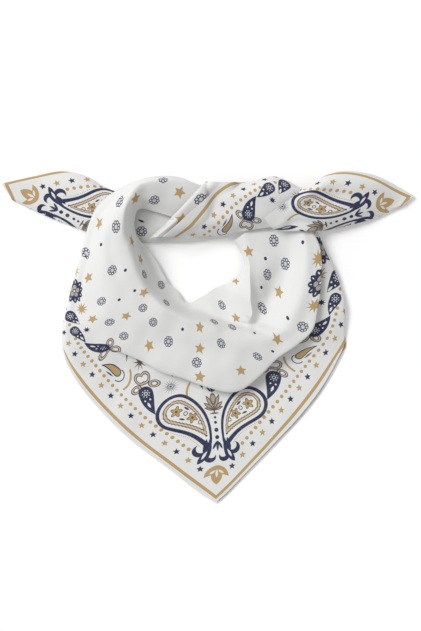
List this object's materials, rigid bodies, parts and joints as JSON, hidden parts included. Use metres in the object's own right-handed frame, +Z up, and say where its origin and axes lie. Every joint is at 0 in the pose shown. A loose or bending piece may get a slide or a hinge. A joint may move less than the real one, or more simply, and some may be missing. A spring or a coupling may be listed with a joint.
{
  "type": "neckerchief",
  "caption": "Printed square neckerchief folded on its diagonal, tied in a loop with a rolled collar, cowl, pointed front and two tails, lying flat.",
  "frame": {"origin": "middle of the footprint, on the table that it lies on", "axes": "+X to the right tail, +Y from the pointed front to the band, +Z up from the table"},
  "size_m": [0.4114, 0.3312, 0.0419],
  "materials": {
    "printed_cotton": "matt, plain weave, printed in navy, gold and taupe"
  },
  "bodies": {
    "root": {"under_leaf": "printed_cotton", "left_tail": "printed_cotton", "front_drape": "printed_cotton", "band_fold": "printed_cotton", "top_band": "printed_cotton", "right_tail": "printed_cotton"}
  },
  "joints": []
}
